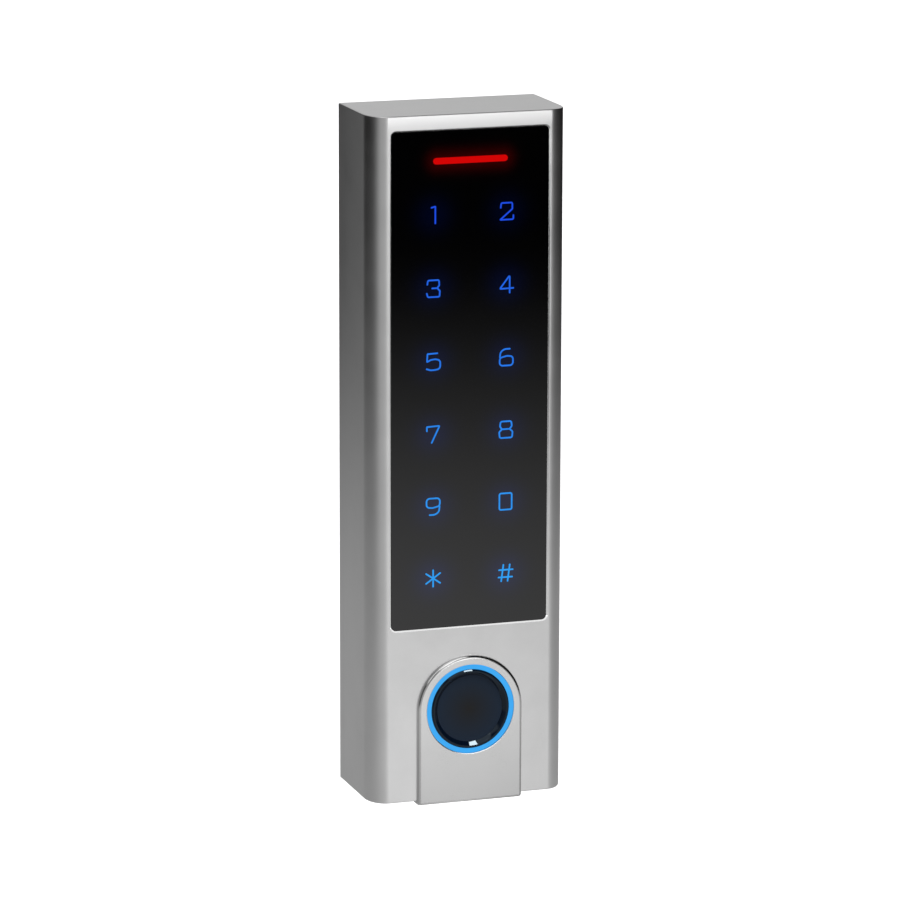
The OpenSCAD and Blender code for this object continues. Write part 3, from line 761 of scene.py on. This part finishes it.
def make_bezel():
    """Arched plate round the sensor, with rounded edges, that turns back under the housing."""
    bottom = ARCH_LOW.z
    corner = arc(ARCH_R - ARCH_CORNER, bottom + ARCH_CORNER, ARCH_CORNER, -90, 0, 6)
    top = arc(0, SENSOR_Z, ARCH_R, 0, 180, 72)
    other = [(-x, z) for x, z in reversed(corner)]
    plate = prism("arch_bezel", corner + top + other, ARCH_Y, FRONT_Y)
    bevel_front(plate, ARCH_ROUNDING, 6)
    foot_top = HOUSING_LOW.z
    cut_x, cut_z = ARCH_R - FOOT_CHAMFER, bottom + FOOT_CHAMFER
    foot = prism("foot", [(-ARCH_R, cut_z), (-cut_x, bottom), (cut_x, bottom), (ARCH_R, cut_z),
                          (ARCH_R, foot_top), (-ARCH_R, foot_top)], FRONT_Y - 0.25, FOOT_BACK)
    combine(plate, foot, "UNION")
    for side in (-1, 1):
        z = HOUSING_LOW.z + PEG_UP
        peg = lathe("peg", [(0, FRONT_Y - 0.2), (PEG_R, FRONT_Y - 0.2), (PEG_R, PEG_BACK),
                            (0, PEG_BACK)], side * PEG_X, z, 48)
        combine(plate, peg, "UNION")
        bore = lathe("bore", [(0, FRONT_Y + 0.2), (PEG_BORE_R, FRONT_Y + 0.2),
                              (PEG_BORE_R, 0), (0, 0)], side * PEG_X, z, 32)
        combine(plate, bore, "DIFFERENCE")
    hole_r = RING_R + HOLE_GAP
    edge_r = hole_r + HOLE_EDGE
    hole = lathe("hole", [(0, ARCH_Y - 1), (edge_r + HOLE_SLOPE, ARCH_Y - 1), (edge_r, ARCH_Y),
                          (hole_r, ARCH_Y + HOLE_EDGE_DEEP), (hole_r, FRONT_Y + 1),
                          (0, FRONT_Y + 1)], 0, SENSOR_Z)
    combine(plate, hole, "DIFFERENCE")
    finish_piece(smooth_flats(plate, 28), "bezel_zinc", replaces=["sensor_bezel"])


# ---------------------------------------------------------------- housing

def ellipse_normal(x, y):
    """Outward direction of an upright front edge's rounding, at a point in millimetres.

    The rounding seems a little wider than it is, which leaves a faint crease where it starts.
    """
    seems = EDGE_ACROSS + CREASE
    across = (abs(x) - (HOUSING_HIGH.x - seems)) / seems
    back = (FRONT_Y + EDGE_BACK - y) / EDGE_BACK
    side = math.copysign(across / seems, x)
    return Vector((side, -back / EDGE_BACK, 0)).normalized()


def window_normal(x, z):
    """Direction of the window's polished edge, which leans inwards, and upwards along its foot."""
    core_x = GLASS_HIGH.x - GLASS_R
    core_z = GLASS_HIGH.z - GLASS_Z - GLASS_R
    inwards = Vector((max(-core_x, min(core_x, x)) - x, 0,
                      max(-core_z, min(core_z, z - GLASS_Z)) - (z - GLASS_Z))).normalized()
    rise = max(0, min(1, inwards.z / LOWER_FULL))
    lean = inwards * math.sin(math.radians(WINDOW_TILT))
    lean.z += math.sin(math.radians(LOWER_TILT)) * rise
    return (lean - Vector((0, 1, 0))).normalized()


def chamfer_normal(wall, z):
    """Direction of the top chamfer, as if it were round, above a wall with this normal."""
    rise = 1 - (HOUSING_HIGH.z - z) / CHAMFER
    foot, more = CHAMFER_TILT
    lean = math.radians(foot + more * max(0, min(1, rise)))
    return wall * math.cos(lean) + Vector((0, 0, math.sin(lean)))


def round_housing():
    """Sets the directions that the housing's rounded and polished edges and its sides show."""
    mesh = frame["nodes"]["front_housing"].data
    normals = [mesh.polygons[0].normal] * len(mesh.loops)
    start_x = HOUSING_HIGH.x - EDGE_ACROSS - 0.01
    for face in mesh.polygons:
        n = face.normal
        c = face.center / MM
        in_front = c.y < FRONT_Y + EDGE_BACK and n.y < 0
        round_wall = abs(c.x) > start_x and in_front and n.x * c.x > 0
        in_window = abs(c.x) < start_x and c.y < FRONT_Y + 1 and -0.9 < n.y < -0.5
        in_window = in_window and abs(c.z - GLASS_Z) < GLASS_HIGH.z - GLASS_Z + 0.5
        flat_side = abs(n.x) > 0.999 and abs(c.x) > HOUSING_HIGH.x - 0.1
        top_chamfer = 0.5 < n.z < 0.9 and c.z > HOUSING_HIGH.z - CHAMFER
        for i in face.loop_indices:
            normals[i] = n.copy()
            at = mesh.vertices[mesh.loops[i].vertex_index].co / MM
            wall = Vector((n.x, n.y, 0)).normalized()
            if round_wall and abs(at.x) > start_x:
                wall = ellipse_normal(at.x, at.y)
            if top_chamfer:
                normals[i] = chamfer_normal(wall, at.z)
            elif round_wall and abs(n.z) < 0.02:
                normals[i] = wall
            elif in_window:
                normals[i] = window_normal(at.x, at.z)
            elif flat_side and at.y > FRONT_Y + EDGE_BACK + 1:
                normals[i] = Vector((n.x, SIDE_CROWN, 0)).normalized()
    mesh.normals_split_custom_set(normals)


# ---------------------------------------------------------------- stage

FLOOR_SIZE = 40         # sizes and places here are in metres
FLOOR_Z = -0.6
FLOOR_GLOW = 0.9
BACKDROP_R = 6
BACKDROP_GLOW = 1.2


def make_floor():
    """A pale floor, well below the terminal."""
    bpy.ops.mesh.primitive_plane_add(size=FLOOR_SIZE, location=(0, 0, FLOOR_Z))
    floor = bpy.context.object
    floor.name = "floor"
    s = Shader("floor")
    s.set(Base_Color=(0.9, 0.9, 0.9, 1), Roughness=0.9)
    s.set(Emission_Color=(1, 1, 1, 1), Emission_Strength=FLOOR_GLOW)
    give_material(floor, s.material)
    floor.visible_glossy = False


def make_backdrop():
    """A plain white backdrop all round, which only the camera sees."""
    bpy.ops.mesh.primitive_uv_sphere_add(segments=48, ring_count=24, radius=BACKDROP_R)
    backdrop = bpy.context.object
    backdrop.name = "backdrop"
    s = Shader("backdrop")
    s.set(Base_Color=(0, 0, 0, 1), Specular_IOR_Level=0.0)
    s.set(Emission_Color=(1, 1, 1, 1), Emission_Strength=BACKDROP_GLOW)
    give_material(backdrop, s.material)
    backdrop.visible_diffuse = False
    backdrop.visible_glossy = False
    backdrop.visible_shadow = False
    backdrop.visible_transmission = False


def direction(azimuth, elevation):
    """A unit vector: azimuth from +X towards +Y, elevation from the horizon, in degrees."""
    a, e = math.radians(azimuth), math.radians(elevation)
    return Vector((math.cos(a) * math.cos(e), math.sin(a) * math.cos(e), math.sin(e)))


# brightness of the studio round the horizon: azimuth in degrees and level
HORIZON = [(0, 0.0), (30, 0.0), (75, 0.01), (93, 0.02), (101, 0.06), (108, 0.16), (115, 0.19),
           (121, 0.06), (128, 0.0), (172, 0.0), (184, 0.04), (194, 0.12), (204, 0.25),
           (215, 0.41), (226, 0.45), (252, 0.46), (262, 0.60), (272, 0.60), (277, 0.05),
           (282, 0.0), (300, 0.0), (306, 0.05), (332, 0.01), (350, 0.0)]
# the same for a band above it, whose edges show as stripes in the polished arch
UPPER = [(0, 0.0), (160, 0.03), (178, 0.03), (186, 1.0), (214, 1.0), (222, 0.05), (236, 0.05),
         (244, 0.9), (264, 0.9), (272, 0.0), (359, 0.0)]
# azimuth, elevation, inner and outer angle, and brightness of each soft light above it
HIGH_LIGHTS = [
    (76, 22, 11, 25, 0.71),
    (102, 63, 20, 26, 0.85),
    (240, 72, 20, 26, 1.3),
    (289, 27, 12, 18, 1.35),
]
# elevations between which the horizon's glow fades out, and the band above fades in and out
HORIZON_END = (36, 14)
UPPER_START = (24, 34)
UPPER_END = (54, 62)
STUDIO_DARK = 0.004


class World(NodeTree):
    """The world's node tree."""

    def __init__(self):
        self.world = bpy.data.worlds.new("studio")
        self.world.use_nodes = True
        self.tree = self.world.node_tree
        self.coords = self.add("ShaderNodeTexCoord").outputs["Generated"]


def make_world():
    """A dark studio: soft panels round the horizon and a few soft lights above."""
    w = World()
    bpy.context.scene.world = w.world
    x, y, z = w.add("ShaderNodeSeparateXYZ", {0: w.coords}).outputs

    def band(span):
        """Rise from 0 to 1 between two elevations."""
        start, end = (math.sin(math.radians(elevation)) for elevation in span)
        return w.fade(z, start, end, 1.0)

    low = band(HORIZON_END)
    total = w.math("MULTIPLY", w.azimuth_ramp(x, y, HORIZON), low)
    above = w.math("SUBTRACT", band(UPPER_START), band(UPPER_END))
    upper = w.math("MULTIPLY", w.azimuth_ramp(x, y, UPPER), above)
    total = w.math("ADD", total, upper)
    for azimuth, elevation, inner, outer, level in HIGH_LIGHTS:
        inputs = {0: w.coords, 1: direction(azimuth, elevation)}
        dot = w.add("ShaderNodeVectorMath", inputs, operation="DOT_PRODUCT").outputs["Value"]
        outer_cos, inner_cos = (math.cos(math.radians(a)) for a in (outer, inner))
        total = w.math("ADD", total, w.fade(dot, outer_cos, inner_cos, level))
    total = w.math("ADD", total, STUDIO_DARK)
    shade = w.tree.nodes["Background"]
    w.tree.links.new(total, shade.inputs["Strength"])
    shade.inputs["Color"].default_value = (1, 1, 1, 1)


# a lit table close under the terminal, as the gloss sees it, in metres
TABLE_R = 1.2
TABLE_Y = -0.013
TABLE_Z = -0.1
TABLE_FAR = 1.0
TABLE_NEAR = 0.18
TABLE_FALLOFF = 1.9
TABLE_LEVEL = 0.93
# its brightness: azimuth in degrees and level
TABLE = [(0, 0.48), (45, 0.46), (108, 0.48), (140, 0.45), (180, 0.50), (203, 0.58), (240, 0.71),
         (262, 0.88), (282, 1.0), (296, 0.87), (310, 0.73), (325, 0.60), (350, 0.51)]


def make_table_glow():
    """A card that only the gloss sees: the lit table near by, the studio's horizon far away."""
    bpy.ops.mesh.primitive_circle_add(vertices=96, radius=TABLE_R, fill_type="NGON",
                                      location=(0, TABLE_Y, TABLE_Z))
    card = bpy.context.object
    card.name = "table_glow"
    s = Shader("table_glow")
    x, y, _ = s.add("ShaderNodeSeparateXYZ", {0: s.coords}).outputs
    reach = s.add("ShaderNodeVectorMath", {0: s.coords}, operation="LENGTH").outputs["Value"]
    near = s.math("POWER", s.fade(reach, TABLE_FAR, TABLE_NEAR, 1.0), TABLE_FALLOFF)
    table = s.math("MULTIPLY", s.azimuth_ramp(x, y, TABLE), near)
    studio = s.math("MULTIPLY", s.azimuth_ramp(x, y, HORIZON), s.math("SUBTRACT", 1.0, near))
    level = s.math("ADD", s.math("MULTIPLY", table, TABLE_LEVEL), studio)
    s.set(Base_Color=(0, 0, 0, 1), Specular_IOR_Level=0.0, Emission_Color=(1, 1, 1, 1))
    s.set(Emission_Strength=level)
    give_material(card, s.material)
    card.visible_camera = False
    card.visible_diffuse = False
    card.visible_shadow = False
    card.visible_transmission = False


def area_light(name, place, target, size, power, receivers, roll=0):
    """A softbox that faces the target and lights only the receivers. The roll is in degrees."""
    data = bpy.data.lights.new(name, "AREA")
    data.shape = "RECTANGLE"
    data.size, data.size_y = size
    data.energy = power
    light = bpy.data.objects.new(name, data)
    bpy.context.scene.collection.objects.link(light)
    light.location = Vector(place)
    aim = Vector(target) - light.location
    turn = Matrix.Rotation(math.radians(roll), 3, aim.normalized())
    light.rotation_euler = (turn @ aim.to_track_quat("-Z", "Y").to_matrix()).to_euler()
    light.light_linking.receiver_collection = receivers


def linked_group(name, pieces):
    """The pieces that a light is limited to."""
    group = bpy.data.collections.new(name)
    for piece in pieces:
        group.objects.link(bpy.data.objects[piece])
    return group


def make_lights():
    """A softbox in front, kept off the glass, and a small one above for the dark rim's glints."""
    metal = linked_group("bright_metal", ["front_housing", "arch_bezel"])
    area_light("front_softbox", direction(283, -1) * 1.3, (0, 0, 0), size=(0.48, 0.55), power=2.15,
               receivers=metal)
    gloss = linked_group("dark_gloss", ["sensor_rim", "sensor_disc"])
    centre = Vector((0, ARCH_Y, SENSOR_Z)) * MM
    place = centre + direction(301, 64.5) * 0.6
    area_light("rim_softbox", place, centre, size=(0.16, 0.24), power=4.6, receivers=gloss,
               roll=30)


make_camera()
make_glass()
make_legends()
make_status_bar()
make_sensor()
make_bezel()
round_housing()
make_floor()
make_backdrop()
make_table_glow()
make_world()
make_lights()
bpy.context.scene.view_settings.view_transform = "Standard"
